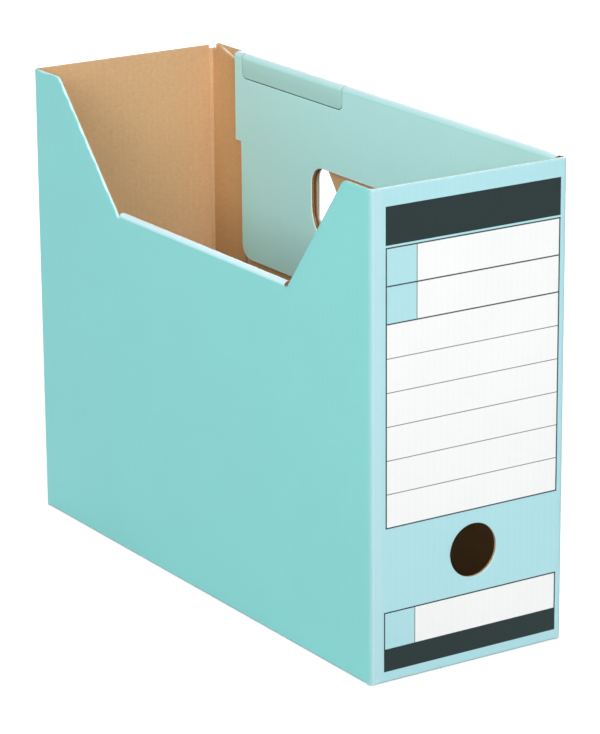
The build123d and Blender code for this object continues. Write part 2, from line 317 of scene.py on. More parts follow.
def foldStrip(fold):
    # outer skin: superellipse of the outer radius, an arc at power 2 and squarer above it
    # inner skin: arc of the inner radius, swollen by the bead of crushed board
    thick, count = boardStock["thickness"], boardStock["arcSteps"]
    radius, centre, power = fold["radius"], np.array(fold["centre"]), fold.get("power", 2)
    first, last = fold["sweep"]
    turn = np.linspace(0, 1, count)
    angle = np.radians(first + (last - first) * turn)
    ray = np.stack([np.cos(angle), np.sin(angle)], 1)
    bead = fold.get("bead", 0) * np.sin(math.pi * turn) ** 2
    outer = centre + ray * radius * (abs(ray) ** power).sum(1, keepdims=True) ** (-1 / power)
    inner = centre + ray * (radius - thick - bead)[:, None]
    weight = turn
    if "tail" in fold:  # a short straight end that meets the flap it carries
        drop = np.array([[0, -fold["tail"]]])
        outer = np.concatenate([outer, outer[-1:] + drop])
        inner = np.concatenate([inner, inner[-1:] + drop])
        weight = np.append(turn, 1.0)
    loop = np.concatenate([outer, inner[::-1]])
    loopWeight = np.concatenate([weight, weight[::-1]])
    arc, size = len(outer), len(loop)

    # the section is carried along the run, with rows crowded at both ends
    s0, s1 = fold["run"]
    near = np.array(boardStock["endRows"])
    between = np.linspace(s0 + near[-1], s1 - near[-1], fold["runSteps"])[1:-1]
    s = np.concatenate([s0 + near, between, s1 - near[::-1]])
    runs = len(s)
    uDir, vDir, sDir = (np.array(fold[k], float) for k in ("uDir", "vDir", "sDir"))
    crest, rolled = pressedIn(fold, s)
    skin = np.concatenate([ray, np.repeat(ray[-1:], arc - count, 0)])
    skin = np.concatenate([skin, np.zeros_like(skin)])  # only the outer skin moves
    push = crest * np.sin(math.pi * loopWeight) + rolled
    section = loop[None] - push[..., None] * skin[None]
    verts = section[..., :1] * uDir + section[..., 1:] * vDir + s[:, None, None] * sDir
    ids = np.arange(runs * size).reshape(runs, size)
    around = np.roll(ids, -1, axis=1)
    sides = np.stack([ids[:-1], around[:-1], around[1:], ids[1:]], -1).reshape(-1, 4)
    use = np.where(np.arange(size) < arc - 1, 0, 1)
    use[[arc - 1, size - 1]] = 2

    # cut ends: rings from the outer to the inner skin, the flutes sunk between the two liners
    points, faces, k = [verts.reshape(-1, 3)], [sides], np.arange(arc)
    part, sunk = np.array(boardStock["endRings"]).T[..., None, None]
    for row, way in ((0, 1), (runs - 1, -1)):
        ring = section[row, :arc] * (1 - part) + section[row, ::-1][:arc] * part
        ring = ring[..., :1] * uDir + ring[..., 1:] * vDir + (s[row] + way * sunk) * sDir
        ringIds = sum(len(p) for p in points) + np.arange(len(part) * arc).reshape(-1, arc)
        points.append(ring.reshape(-1, 3))
        grid = np.concatenate([row * size + k[None], ringIds, row * size + size - 1 - k[None]])
        cells = np.stack([grid[:-1, :-1], grid[1:, :-1], grid[1:, 1:], grid[:-1, 1:]], -1).reshape(-1, 4)
        faces.append(cells[:, ::way])
    faces = np.concatenate(faces)
    slots = np.append(np.tile(use, runs - 1), np.full(len(faces) - len(sides), 2))
    if np.cross(uDir, vDir) @ sDir * (last - first) * (s1 - s0) < 0:
        faces = faces[:, ::-1]
    toEnd = np.minimum(abs(s - s0), abs(s - s1))
    cut = np.append(np.repeat(toEnd, size), np.zeros(2 * len(part) * arc))
    piece = meshPiece(fold["name"], np.concatenate(points), faces, slots,
                      [fold["ink"], kraftPaper, cutBoard], {"cutDistance": cut, "flute": np.zeros(len(cut))})
    if "turns" in fold:
        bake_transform(piece)
    else:
        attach(piece, "box")
    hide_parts(fold["node"])
    return piece


def put(tree, kind, inputs=(), **props):
    # a new node with its settings; an input is linked to a socket or given a value
    made = tree.nodes.new(kind)
    for key, value in props.items():
        setattr(made, key, value)
    for key, value in dict(inputs).items():
        if isinstance(value, bpy.types.NodeSocket):
            tree.links.new(value, made.inputs[key])
        else:
            made.inputs[key].default_value = value
    return made


def math2(tree, operation, a, b=0.0):
    return put(tree, "ShaderNodeMath", {0: a, 1: b}, operation=operation).outputs[0]


def vector2(tree, operation, a, b=(0, 0, 0)):
    return put(tree, "ShaderNodeVectorMath", {0: a, 1: b}, operation=operation).outputs[0]


def span(tree, value, low, high, toLow=0.0, toHigh=1.0, kind="SMOOTHSTEP"):
    sockets = {"Value": value, "From Min": low, "From Max": high, "To Min": toLow, "To Max": toHigh}
    return put(tree, "ShaderNodeMapRange", sockets, interpolation_type=kind).outputs["Result"]


def noise(tree, where, scale, detail, roughness=0.5):
    sockets = {"Vector": where, "Scale": scale, "Detail": detail, "Roughness": roughness}
    return put(tree, "ShaderNodeTexNoise", sockets).outputs["Fac"]


def axesOf(tree, where):
    return put(tree, "ShaderNodeSeparateXYZ", {0: where}).outputs


def attribute(tree, name):
    return put(tree, "ShaderNodeAttribute", attribute_name=name).outputs["Fac"]


def blendColour(tree, share, a, b):
    return put(tree, "ShaderNodeMix", {0: share, 6: a, 7: b}, data_type="RGBA").outputs[2]


def newGroup(name, inputs, outputs):
    tree = bpy.data.node_groups.new(name, "ShaderNodeTree")
    for key, kind in inputs:
        tree.interface.new_socket(key, in_out="INPUT", socket_type=kind)
    for key, kind in outputs:
        tree.interface.new_socket(key, in_out="OUTPUT", socket_type=kind)
    return tree, tree.nodes.new("NodeGroupInput").outputs, tree.nodes.new("NodeGroupOutput").inputs


def useGroup(tree, group, **inputs):
    return put(tree, "ShaderNodeGroup", inputs, node_tree=group).outputs


number, vector = "NodeSocketFloat", "NodeSocketVector"


def paperGrainGroup():
    # fibres: noise drawn out sideways crossed with noise drawn out upwards; flecks at peaks, slow blotches
    tree, given, out = newGroup("paperGrain", [("Vector", vector)],
                                [("Fibre", number), ("Fleck", number), ("Blotch", number)])
    drawn = vector2(tree, "MULTIPLY", given["Vector"], (1, 1, 4.5))
    raised = vector2(tree, "MULTIPLY", given["Vector"], (4.5, 4.5, 1))
    lying, upright = noise(tree, drawn, 330, 4, 0.6), noise(tree, raised, 260, 3, 0.6)
    fibre = put(tree, "ShaderNodeMix", {0: 0.4, 2: lying, 3: upright})
    tree.links.new(fibre.outputs[0], out["Fibre"])
    tree.links.new(span(tree, noise(tree, drawn, 210, 2), 0.66, 0.76), out["Fleck"])
    tree.links.new(noise(tree, given["Vector"], 22, 3), out["Blotch"])
    return tree


def makeEdgeTint():
    # full at a cut edge, gone at the reach, which a noise makes uneven
    tree, given, out = newGroup("edgeTintTree", [("Vector", vector), ("Distance", number), ("Reach", number)],
                                [("Wear", number)])
    uneven = span(tree, noise(tree, given["Vector"], 160, 3), 0.3, 0.7, 0.25, 1.4)
    share = math2(tree, "DIVIDE", given["Distance"], math2(tree, "MULTIPLY", given["Reach"], uneven))
    tree.links.new(span(tree, share, 0.0, 1.0, 1.0, 0.0), out["Wear"])
    return tree


def boxMaskGroup(name, first, second, blur=0.05 * mm):
    # one inside a box of the given centre and half size across two axes, nothing outside it
    tree, given, out = newGroup(name, [("Vector", vector), ("Centre", vector), ("Half", vector)],
                                [("Inside", number)])
    off = vector2(tree, "ABSOLUTE", vector2(tree, "SUBTRACT", given["Vector"], given["Centre"]))
    past = axesOf(tree, vector2(tree, "SUBTRACT", off, given["Half"]))
    worst = math2(tree, "MAXIMUM", past[first], past[second])
    tree.links.new(span(tree, worst, -blur, blur, 1.0, 0.0), out["Inside"])
    return tree


paperGrain, edgeTintTree = paperGrainGroup(), makeEdgeTint()
printBox, footprint = boxMaskGroup("printBox", "X", "Z"), boxMaskGroup("footprint", "X", "Y")
slitBox = boxMaskGroup("slitBox", "Y", "Z")


def newMaterial(name):
    made = bpy.data.materials.new(name)
    made.use_nodes = True
    tree = made.node_tree
    tree.nodes.clear()
    shader = tree.nodes.new("ShaderNodeBsdfPrincipled")
    tree.links.new(shader.outputs[0], tree.nodes.new("ShaderNodeOutputMaterial").inputs[0])
    where = tree.nodes.new("ShaderNodeTexCoord").outputs["Object"]
    return made, tree, shader, where


# how far fibres, flutes, blotches and flecks shift the colour; roughness range, bump and gloss
inkFinish = dict(fibre=0.016, flute=0.007, blotch=0.012, fleck=0.02,
                 roughness=(0.38, 0.52), relief=0.12, specular=0.3)
kraftFinish = dict(fibre=0.045, flute=0.01, blotch=0.025, fleck=0.1,
                   roughness=(0.78, 0.95), relief=0.25, specular=0.25)
labelFinish, cutFinish = dict(inkFinish, specular=0.25), dict(kraftFinish, relief=0.6)


def paperFinish(tree, shader, colour, grain, finish):
    # fibres and flecks shift the colour a little, flute lines show as faint stripes, fibres give the bump
    fibre, blotch = finish["fibre"], finish["blotch"]
    tint = math2(tree, "ADD", span(tree, grain["Fibre"], 0.25, 0.75, 1 - fibre, 1 + fibre, "LINEAR"),
                 math2(tree, "MULTIPLY", attribute(tree, "flute"), finish["flute"]))
    tint = math2(tree, "ADD", tint, span(tree, grain["Blotch"], 0.3, 0.7, -blotch, blotch, "LINEAR"))
    tint = math2(tree, "SUBTRACT", tint, math2(tree, "MULTIPLY", grain["Fleck"], finish["fleck"]))
    scaled = put(tree, "ShaderNodeVectorMath", {0: colour, "Scale": tint}, operation="SCALE").outputs[0]
    tree.links.new(scaled, shader.inputs["Base Color"])
    tree.links.new(span(tree, grain["Fibre"], 0.2, 0.8, *finish["roughness"]), shader.inputs["Roughness"])
    heights = {"Height": grain["Fibre"], "Strength": finish["relief"], "Distance": 0.05 * mm}
    tree.links.new(put(tree, "ShaderNodeBump", heights).outputs[0], shader.inputs["Normal"])
    shader.inputs["Specular IOR Level"].default_value = finish["specular"]


wallInk = (0.23, 0.64, 0.625, 1)
# the label panel's ground: a paler copy of the wall ink, painted sheen on the front panel, paler still
# beside its crease as painted highlight
labelSheenInk = (0.38, 0.65, 0.695, 1)
labelCreaseHighlightInk = (0.415, 0.66, 0.7, 1)
# the lid's turquoise: a paler copy of the wall ink, painted sheen and light on the lid
lidSheenInk = (0.475, 0.84, 0.83, 1)
# pale edge colour of the printed liner: rubbed ink, and painted highlight along lit cut edges
rubAndHighlightInk = (0.76, 0.9, 0.94, 1)
frayedFibre = (0.86, 0.8, 0.72, 1)


def edgeTintShare(tree, where, tintAmount, reach, fades=()):
    # share of pale colour beside a cut edge: rubbed and frayed fibre, and on the ink also painted highlight
    # along lit cut edges; each fade: an axis, the two places between which it sets in
    axes, away = axesOf(tree, where), attribute(tree, "cutDistance")
    tinted = useGroup(tree, edgeTintTree, Vector=where, Distance=away, Reach=reach)["Wear"]
    for axis, start, stop in fades:
        tinted = math2(tree, "MULTIPLY", tinted, span(tree, axes[axis], start * mm, stop * mm))
    return math2(tree, "MULTIPLY", tinted, tintAmount)


def inkMaterial(name, ink, changes=(), tintAmount=0.5, reach=0.9, fades=()):
    # printed liner; each change: an axis, the two places between which the ink turns, the ink it turns to
    made, tree, shader, where = newMaterial(name)
    grain, axes, colour = useGroup(tree, paperGrain, Vector=where), axesOf(tree, where), ink
    for axis, start, stop, other in changes:
        colour = blendColour(tree, span(tree, axes[axis], start * mm, stop * mm), colour, other)
    colour = blendColour(tree, edgeTintShare(tree, where, tintAmount, reach, fades), colour, rubAndHighlightInk)
    paperFinish(tree, shader, colour, grain, inkFinish)
    return made


def kraftMaterial(name, light, dark, finish=kraftFinish, edgeFibre=0, reach=1, fades=(), slit=None, deep=None):
    # unbleached paper: brown between two tones, darker flecks, pale fibres beside cut edges; some gets
    # painted shade, darker towards the base and dark in a slit
    made, tree, shader, where = newMaterial(name)
    grain = useGroup(tree, paperGrain, Vector=where)
    colour = blendColour(tree, span(tree, grain["Fibre"], 0.3, 0.72), dark, light)
    if deep:
        high, low = deep["heights"]
        lowShade = span(tree, axesOf(tree, where)["Z"], high * mm, low * mm, 0.0, deep["share"])
        colour = blendColour(tree, lowShade, colour, deep["ink"])
    colour = blendColour(tree, edgeTintShare(tree, where, edgeFibre, reach, fades), colour, frayedFibre)
    # painted shade: the cut edges inside the slit box turn dark
    if slit:
        centre, half = ([v * mm for v in slit[k]] for k in ("centre", "half"))
        inside = useGroup(tree, slitBox, Vector=where, Centre=centre, Half=half)["Inside"]
        colour = blendColour(tree, inside, colour, slit["ink"])
    paperFinish(tree, shader, colour, grain, finish)
    return made


labelPrint = dict(
    left=-halfWidth + 7.6, right=-halfWidth + 98.3,
    header=(8.2, 25.0),     # millimetres below the top of the panel
    table=(26.2, 149.6), tallRows=2, tallPitch=16.5, rowPitch=15.05,
    tag=-halfWidth + 23.6,  # right side of the tinted cells
    frameLeft=-halfWidth + 6.8, frame=(188.0, 204.6), foot=215.0,
    frameTag=0.9,           # the frame's tinted cell ends this much sooner
    line=0.62, thinLine=0.4, sideLine=0.7, top=height,
    creaseHighlight=(-48.5, -43),      # painted highlight: the ground is paler beside the crease
    # pale top edge: rubbed fibre and painted highlight, setting in near the top
    paleTop=dict(tintAmount=0.35, reach=0.6, fades=[("Z", 205, 215)]),
)
darkInk = (0.007, 0.019, 0.02, 1)
lineInk = (0.03, 0.046, 0.05, 1)
thinInk = (0.13, 0.145, 0.15, 1)
paperWhite = (0.8, 0.81, 0.805, 1)
tagInk = (0.38, 0.645, 0.69, 1)


def labelMaterial(name):
    # a dark head band, a ruled white table with tinted cells, a white frame and a dark foot band
    p = labelPrint
    left, right, tag = p["left"], p["right"], p["tag"]
    side, thin, w = p["sideLine"], p["thinLine"], p["line"]
    top, bottom = p["table"]
    split = top + p["tallRows"] * p["tallPitch"]
    high, low = p["frame"]
    lowTag, frameLeft, blur = tag - p["frameTag"], p["frameLeft"], 0.06
    made, tree, shader, where = newMaterial(name)
    grain, axes = useGroup(tree, paperGrain, Vector=where), axesOf(tree, where)

    def area(left, right, high, low):
        centre = ((left + right) / 2 * mm, 0, (p["top"] - (high + low) / 2) * mm)
        half = ((right - left) / 2 * mm, 1, (low - high) / 2 * mm)
        return useGroup(tree, printBox, Vector=where, Centre=centre, Half=half)["Inside"]

    def ruled(start, pitch, width, high, low):
        # evenly spaced level lines, from the distance to the nearest of them, inside the table
        down = math2(tree, "SUBTRACT", (p["top"] - start) * mm, axes["Z"])
        count = math2(tree, "DIVIDE", down, pitch * mm)
        off = math2(tree, "MULTIPLY", math2(tree, "PINGPONG", count, 0.5), pitch * mm)
        line = span(tree, off, (width / 2 - blur) * mm, (width / 2 + blur) * mm, 1.0, 0.0)
        return math2(tree, "MULTIPLY", line, area(left + side, right - side, high, low))

    # painted highlight: the ground turns paler towards the crease
    creaseHighlightShare = span(tree, axes["X"], *(x * mm for x in p["creaseHighlight"]))
    colour = blendColour(tree, creaseHighlightShare, labelCreaseHighlightInk, labelSheenInk)
    layers = [
        (area(left, right, top - w / 2, bottom + w / 2), lineInk),
        (area(left + side, right - side, top + w / 2, bottom - w / 2), paperWhite),
        (area(left + side, tag, top + w / 2, split), tagInk),
        (area(tag - thin / 2, tag + thin / 2, top, split), thinInk),
        (ruled(split, p["rowPitch"], thin, split + 1, bottom - 1), thinInk),
        (ruled(top, p["tallPitch"], w, top, split + w), lineInk),
        (area(left, right, *p["header"]), darkInk),
        (area(frameLeft, right, high - w / 2, p["foot"]), darkInk),
        (area(frameLeft + w, right - w, high + w / 2, low), paperWhite),
        (area(frameLeft + w, lowTag, high + w / 2, low), tagInk),
        (area(lowTag, lowTag + thin, high + w / 2, low), thinInk),
    ]
    for mask, ink in layers:
        colour = blendColour(tree, mask, colour, ink)
    colour = blendColour(tree, edgeTintShare(tree, where, **p["paleTop"]), colour, rubAndHighlightInk)
    paperFinish(tree, shader, colour, grain, labelFinish)
    return made


turquoise = inkMaterial("turquoisePrint", wallInk)
# the pale line along the notch's cut edges is rubbed fibre and painted highlight, faded out towards the
# front
notchedInk = inkMaterial("notchedWallPrint", wallInk, tintAmount=0.72, reach=0.95, fades=[("Y", -70, 60)])
# lid: the paler, painted-sheen copy of the wall ink; pale edges above 180 mm are rubbed fibre and painted
# highlight
lidSheenTurquoise = inkMaterial("lidSheenPrint", lidSheenInk, tintAmount=0.85, reach=1.1, fades=[("Z", 200, 180)])
# index tab: a darker copy of the lid ink, painted shade for its tilt, lighter towards its fold
shadedTabInk = inkMaterial("shadedTabPrint", (0.385, 0.69, 0.655, 1), tintAmount=0.15,
                     changes=[("Z", 212.5, 218, (0.42, 0.74, 0.715, 1))])
labelFace = labelMaterial("labelPanelPrint")
# front-left crease: wall ink, a darker band of painted shade round the bend, then the label's paler
# painted-sheen ground
frontLeftInk = inkMaterial("frontLeftCornerPrint", wallInk, tintAmount=0.3,
                           changes=[("Y", -141.2, -142.7, (0.275, 0.525, 0.535, 1)),
                                    ("X", -50.6, -49.3, (0.405, 0.63, 0.665, 1))])
frontRightInk = inkMaterial("frontRightCornerPrint", labelSheenInk, tintAmount=0.4, changes=[("X", 50.3, 51, wallInk)])
frontEdgeInk = inkMaterial("frontEdgePrint", labelSheenInk, tintAmount=0.2)
# notch fold: painted highlight, the wall ink paler round the fold and palest on its crest
foldHighlightInk = inkMaterial("foldHighlightPrint", (0.4, 0.74, 0.75, 1), tintAmount=0.4,
                      changes=[("Z", 163.5, 164.9, (0.65, 0.86, 0.92, 1))])
# lid fold: painted highlight, the ink turning pale on the crest
lidFoldHighlightInk = inkMaterial("lidFoldHighlightPrint", (0.44, 0.785, 0.77, 1), tintAmount=0.15,
                         changes=[("Z", 219.2, 220.8, (0.6, 0.775, 0.81, 1))])
# painted shade: the inner kraft darkens towards the base
kraftPaper = kraftMaterial("kraftPaper", (0.665, 0.42, 0.222, 1), (0.61, 0.378, 0.192, 1), edgeFibre=0.06,
                           deep=dict(heights=(80, 35), share=0.8, ink=(0.33, 0.25, 0.165, 1)))
# glue flap: a darker, more saturated copy of the kraft as painted shade, with pale fibre along its slanting
# top edge that is fraying and painted highlight
shadedFlapKraft = kraftMaterial("shadedFlapKraft", (0.645, 0.385, 0.178, 1), (0.59, 0.345, 0.155, 1), edgeFibre=0.65,
                          reach=0.85, fades=[("Z", 204, 210), ("Z", 220.9, 219.6)])
cutTones = (0.60, 0.40, 0.23, 1), (0.42, 0.255, 0.13, 1)
cutBoard = kraftMaterial("cutBoardEdge", *cutTones, cutFinish)
# painted shade in the slit round the index tab
tabSlitShade = dict(centre=(0, 67.1, 212.5), half=(0, 44.6, 6.5), ink=(0.09, 0.1, 0.085, 1))
slitBoard = kraftMaterial("slitBoardEdge", *cutTones, cutFinish, slit=tabSlitShade)
print("finishes:", len(bpy.data.materials))


def level(h0, h1, v):
    return np.array([(h0, v), (h1, v)], float)


def wallCreases(h0, h1):
    # the foot and both ends of a wall
    return [((h0, baseLevel), (h1, baseLevel))] + [((h, baseLevel), (h, height)) for h in (h0, h1)]


def aroundHole(loop, h0, h1):
    # the two lines that run under and over a hole and go on level at both sides of it
    lines = [np.concatenate([[(h0, line[0, 1])], line, [(h1, line[-1, 1])]]) for line in underAndOver(loop)]
    return lines, (loop[:, 0].min(), loop[:, 0].max())


fingerHole = dict(centre=(2.75, 51.5), radius=12.2, count=56)


def frontPanel():
    h0, h1 = -panelEnd, panelEnd
    (under, over), (a, b) = aroundHole(roundLoop(**fingerHole), h0, h1)
    return boardPanel(dict(
        name="frontPanelBoard", node="front_panel", ink=labelFace, reach=(h0, h1),
        lines=[level(h0, h1, baseLevel), under, over, level(h0, h1, height)],
        strips=[(False, True, 4), (False, False, 1), (True, True, 6)], gaps=[(1, a, b)],
        creases=wallCreases(h0, h1), roll=(0.45, 0.4), rollAbove=200,
        origin=(0, -halfLength, 0), hDir=xDir, vDir=zDir, dDir=yDir,
    ))


notch = dict(rearTop=119.5, rearFoot=66.0, frontFoot=-78.5, frontTop=-122.5, foot=163.5, topRadius=5,
             footRadius=1.5, crease=(-77, 64.5))


def leftWall():
    n, end = notch, wallEnd
    top = [(-end, height), (n["frontTop"], height), (n["frontFoot"], n["foot"]), (n["rearFoot"], n["foot"]),
           (n["rearTop"], height), (end, height)]
    line = softCorners(top, [0, n["topRadius"], n["footRadius"], n["footRadius"], n["topRadius"], 0])
    return boardPanel(dict(
        name="leftWallBoard", node="left_wall", ink=notchedInk, reach=(-end, end),
        lines=[level(-end, end, baseLevel), line], strips=[(False, True, 8)],
        creases=wallCreases(-end, end) + [[(h, n["foot"]) for h in n["crease"]]],
        origin=(-halfWidth, 0, 0), hDir=yDir, vDir=zDir, dDir=xDir,
    ))


def rearPanel():
    h0, h1 = -panelEnd, rearEnd
    return boardPanel(dict(
        name="rearPanelBoard", node="rear_panel", ink=turquoise, reach=(h0, h1),
        lines=[level(h0, h1, baseLevel), level(h0, h1, height)], strips=[(False, True, 8)],
        creases=wallCreases(h0, h1), origin=(0, halfLength, 0), hDir=xDir, vDir=zDir, dDir=yBack,
    ))


handHole = dict(half=49.7, low=140.5, wallHigh=177.0, lidHigh=177.8, chamfer=11, wallRadius=6.5, topRadius=9,
                lowRadius=18)
gripFlapCut = dict(low=167.5, high=176.7, lowHalf=33.8, highHalf=40.75)
lidCut = dict(rear=117.3, front=-140.1, top=218.1, step=177.2, tongueRear=112.2, tongueFront=-115.2,
              bottom=118.8, cornerRadius=7.5, tabRear=111.0, tabFront=23.2, tabLow=209.0, tabRadius=3.4,
              belowTab=203.0, face=45.8, roll=(0.3, 0.22))
rightWallRear = 143.2


def rightWall():
    h, front, rear = handHole, -wallEnd, rightWallRear
    half, low, high, chamfer = h["half"], h["low"], h["wallHigh"], h["chamfer"]
    knee, grip = low + chamfer, gripFlapCut["highHalf"]
    cut = [(-half + chamfer, low), (half - chamfer, low), (half, knee),
           (half, high), (-half, high), (-half, knee)]
    hole = softCorners(cut, [0, 0, 0, h["wallRadius"], h["wallRadius"], 0])
    (under, over), (a, b) = aroundHole(hole, front, rear)
    top = np.array([(front, lidAxis), (shoulderFront - sideStep, lidAxis), (shoulderFront, shoulder),
                    (shoulderRear, shoulder), (shoulderRear + sideStep, reliefLevel), (rear, reliefLevel)])
    return boardPanel(dict(
        name="rightWallBoard", node="right_wall", ink=turquoise, reach=(front, rear),
        lines=[level(front, rear, baseLevel), under, over, top],
        strips=[(False, True, 5), (False, False, 2), (True, True, 3)], gaps=[(1, a, b)],
        upright=[(rear, -1), (shoulderFront, 1), (shoulderRear, -1), (a, -1), (b, 1)],
        creases=[((front, baseLevel), (rear, baseLevel)), ((front, baseLevel), (front, lidAxis)),
                 ((front, lidAxis), (lidCut["rear"], lidAxis)), ((-grip, high), (grip, high))],
        origin=(halfWidth, 0, 0), hDir=yDir, vDir=zDir, dDir=xBack,
    ))


def lidPanel():
    c, h = lidCut, handHole
    front, rear, top, step, bottom = (c[k] for k in ("front", "rear", "top", "step", "bottom"))
    tongueFront, tongueRear = c["tongueFront"], c["tongueRear"]
    tabFront, tabRear, half, foot, head = c["tabFront"], c["tabRear"], h["half"], h["low"], h["lidHigh"]
    hole = softCorners([(-half, foot), (half, foot), (half, head), (-half, head)],
                       [h["lowRadius"], h["lowRadius"], h["topRadius"], h["topRadius"]])
    (under, over), (a, b) = aroundHole(hole, front, rear)
    low = [(front, step), (tongueFront - sideStep, step), (tongueFront, bottom),
           (tongueRear, bottom), (tongueRear + sideStep, step), (rear, step)]
    high = [(front, top), (tabFront, top), (tabFront + sideStep, c["tabLow"]),
            (tabRear - sideStep, c["tabLow"]), (tabRear, top), (rear, top)]
    return boardPanel(dict(
        name="lidBoard", node="lid", body="lid", ink=lidSheenTurquoise, edge=slitBoard, reach=(front, rear),
        lines=[softCorners(low, [0, 0, c["cornerRadius"], c["cornerRadius"], 0, 0]), under, over,
               level(front, rear, c["belowTab"]),
               softCorners(high, [0, 0, c["tabRadius"], c["tabRadius"], 0, 0])],
        strips=[(True, True, 1), (False, False, 2), (True, False, 2), (False, True, 2)],
        gaps=[(1, a, b), (0, front, tongueFront), (1, front, tongueFront),
              (0, tongueRear, rear), (1, tongueRear, rear)],
        upright=[(front, 1), (rear, -1), (tongueFront, 1), (tongueRear, -1), (a, -1), (b, 1),
                 (tabFront, -1), (tabRear, 1)],
        creases=[((front, top), (tabFront, top)), ((tabRear, top), (rear, top))], roll=c["roll"],
        origin=(c["face"], 0, 0), hDir=yDir, vDir=zDir, dDir=xDir,
    ))


indexTabCut = dict(rear=110.6, front=23.6, low=209.4, high=218.1, radius=3)


def indexTab():
    rear, front, low, high, radius = indexTabCut.values()
    loop = softCorners([(front, low), (rear, low), (rear, high), (front, high)], [radius, radius, 0, 0])
    return boardPanel(dict(
        name="indexTabBoard", node="index_tab", body="index_tab", ink=shadedTabInk, edge=slitBoard,
        reach=(front, rear), lines=underAndOver(loop), strips=[(True, False, 3)],
        upright=[(front, 1), (rear, -1)], creases=[((front, high), (rear, high))], roll=lidCut["roll"],
        origin=(lidCut["face"], 0, 0), hDir=yDir, vDir=zDir, dDir=xDir,
    ))


def flapLines(loop, trim=0.03):
    # a flap's outline without the points of its slanting ends
    return underAndOver(loop), (loop[:, 0].min() + trim, loop[:, 0].max() - trim)


notchFlapCut = dict(low=(-120.77, 117.56, 108.2), high=(-77.7, 65.2, 163.2), radius=4, face=-47.0)


def notchFlap():
    c = notchFlapCut
    lowFront, lowRear, low = c["low"]
    highFront, highRear, high = c["high"]
    loop = [(lowFront, low), (lowRear, low), (highRear, high), (highFront, high)]
    lines, reach = flapLines(softCorners(loop, [c["radius"], c["radius"], 0, 0]))
    return boardPanel(dict(
        name="notchFlapBoard", node="notch_flap", body="notch_flap", ink=turquoise, reach=reach, lines=lines,
        strips=[(True, True, 4)], creases=[((highFront, high), (highRear, high))],
        origin=(c["face"], 0, 0), hDir=yDir, vDir=zDir, dDir=xBack,
    ))


def gripFlap():
    low, high, lowHalf, highHalf = gripFlapCut.values()
    loop = np.array([(-lowHalf, low), (lowHalf, low), (highHalf, high), (-highHalf, high)], float)
    lines, reach = flapLines(loop)
    return boardPanel(dict(
        name="gripFlapBoard", node="grip_flap", body="grip_flap", ink=turquoise, reach=reach, lines=lines,
        strips=[(True, False, 3)], creases=[((-highHalf, high), (highHalf, high))],
        origin=(halfWidth, 0, 0), hDir=yDir, vDir=zDir, dDir=xBack,
    ))


glueFlapCut = dict(knee=133.6, far=113.5, low=8.2, farLow=14.7, farHigh=214.5, face=49.4)


def glueFlap():
    knee, far, low, farLow, farHigh, face = glueFlapCut.values()
    high = [(far, farHigh), (knee, shoulder), (shoulderRear, shoulder),
            (shoulderRear + sideStep, reliefLevel), (wallEnd, reliefLevel)]
    return boardPanel(dict(
        name="glueFlapBoard", node="glue_flap", ink=turquoise, slot="kraft_board", reach=(far, wallEnd),
        lines=[np.array([(far, farLow), (knee, low), (wallEnd, low)]), np.array(high)],
        strips=[(True, True, 8)], upright=[(far, 1), (shoulderRear, -1)], plain=shadedFlapKraft,
        creases=[((wallEnd, low), (wallEnd, reliefLevel))], roll=(0.3, 0.1), pinch=(1.3, 1.0),
        origin=(face, 0, 0), hDir=yDir, vDir=zDir, dDir=xBack,
    ))


# main flaps of the base climb one board over the end flaps and meet at a stepped seam
baseCut = dict(knee=-47.3, landing=-42.3, end=139.5, chamfer=9, reach=5.9, back=-6.1, slant=10)


def mainBaseFlap(name, node, side):
    start, b = -baseSide, baseCut
    end, chamfer, slant, reach, back = (b[k] for k in ("end", "chamfer", "slant", "reach", "back"))
    low = np.array([(-end, start), (end - chamfer, start), (end, start + chamfer)])
    high = np.array([(-end, reach), (-slant, reach), (slant, back), (end, back)])
    return boardPanel(dict(
        name=name, node=node, ink=turquoise, reach=(-end, end), lines=[low, high],
        strips=[(False, True, 14)], creases=[((-end, start), (end, start))],
        jog=((b["knee"], b["landing"]), (0, boardStock["thickness"])),
        origin=(0, 0, 0), hDir=(0, side, 0), vDir=(side, 0, 0), dDir=zDir,
    ))


# the end flaps carry a corner beyond a slanting crease, which is glued to a main flap
endFlapCut = dict(half=41.8, edge=-97.5, slantStart=(-41.55, -141.05), slantStop=2.25, shoulder=35.8,
                  farSide=-141.2, cornerLow=-140.8, cornerStop=(1.45, -97.55), cornerReach=1.5)


def endBaseFlap(name, node, side):
    c, half = endFlapCut, endFlapCut["half"]
    slantH, slantV = c["slantStart"]
    high = np.array([(-half, slantV), (slantH, slantV), (c["slantStop"], c["edge"]),
                     (c["shoulder"], c["edge"]), (half, c["farSide"])])
    return boardPanel(dict(
        name=name, node=node, ink=turquoise, reach=(-half, half), lines=[level(-half, half, -baseEnd), high],
        strips=[(False, True, 4)], creases=[((-half, -baseEnd), (half, -baseEnd))],
        origin=(0, 0, 0), hDir=(side, 0, 0), vDir=(0, side, 0), dDir=zDir,
    ))


def glueCorner(name, node, side):
    c, half = endFlapCut, endFlapCut["half"]
    low = np.array([(-half, c["cornerLow"]), c["cornerStop"]])
    return boardPanel(dict(
        name=name, node=node, ink=turquoise, reach=(-half, c["cornerStop"][0]),
        lines=[low, level(-half, c["cornerReach"], c["edge"])], strips=[(True, True, 3)],
        origin=(0, 0, 0), hDir=(side, 0, 0), vDir=(0, side, 0), dDir=zDir,
    ))


panels = [
    frontPanel(), leftWall(), rearPanel(), rightWall(), lidPanel(), indexTab(),
    notchFlap(), gripFlap(), glueFlap(),
    mainBaseFlap("leftBaseBoard", "left_base_flap", 1),
    mainBaseFlap("rightBaseBoard", "right_base_flap", -1),
    endBaseFlap("frontBaseBoard", "front_base_flap", 1),
    endBaseFlap("rearBaseBoard", "rear_base_flap", -1),
    glueCorner("frontGlueCornerBoard", "front_glue_corner", 1),
    glueCorner("rearGlueCornerBoard", "rear_glue_corner", -1),
]
print("board panels:", len(panels), "with", sum(len(p.data.polygons) for p in panels), "faces")

